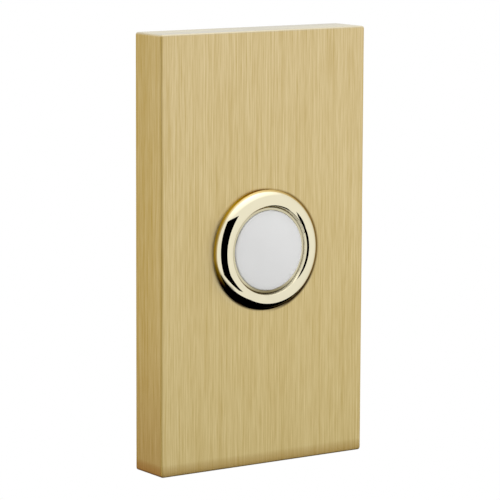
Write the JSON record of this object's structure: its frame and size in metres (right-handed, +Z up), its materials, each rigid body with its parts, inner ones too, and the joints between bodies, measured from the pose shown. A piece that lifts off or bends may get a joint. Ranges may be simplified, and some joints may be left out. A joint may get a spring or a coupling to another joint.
{
  "type": "doorbell push button",
  "caption": "Rectangular satin brass bell push with a hooked cover plate, a polished round bezel and a lit white button that slides in to close the switch behind it.",
  "frame": {"origin": "on the button's axis, in the plane of the wall behind the bracket and the cover's rim", "axes": "+Z up, -Y out of the wall towards the visitor, +Y into the wall, +X to the visitor's right"},
  "size_m": [0.0426, 0.0216, 0.0762],
  "materials": {
    "satin_brass": "satin, brushed along its height",
    "polished_brass": "polished",
    "turned_brass": "turned",
    "contact_brass": "stamped",
    "screw_brass": "turned, slotted",
    "zinc_steel": "zinc plated",
    "black_steel": "black oxide",
    "spring_steel": "drawn wire",
    "tinned_wire": "tinned",
    "white_cap": "translucent white, satin",
    "natural_nylon": "moulded",
    "black_moulding": "moulded",
    "brown_phenolic": "moulded",
    "lamp_resin": "clear resin",
    "resistor_lacquer": "lacquered"
  },
  "bodies": {
    "bell_push": {"cover_plate": "satin_brass", "set_screw": "black_steel", "wall_bracket": "zinc_steel", "bezel": "polished_brass", "lock_washer": "zinc_steel", "ring_nut": "turned_brass", "return_spring": "spring_steel", "switch_housing": "black_moulding", "terminal_base": "brown_phenolic", "contact_strip_left": "contact_brass", "contact_strip_right": "contact_brass", "terminal_screws": "screw_brass", "lamp": "lamp_resin", "lamp_leads": "tinned_wire", "resistor": "resistor_lacquer"},
    "button": {"button_cap": "white_cap", "plunger": "natural_nylon", "contact_ring": "contact_brass"}
  },
  "joints": [
    {"name": "button_press", "type": "slide", "parent": "bell_push", "child": "button", "axis": [0, 1, 0], "range_m": [0, 0.0015], "stiffness_N_per_m": 500, "springref_m": -0.003, "deforming": ["return_spring"]}
  ]
}
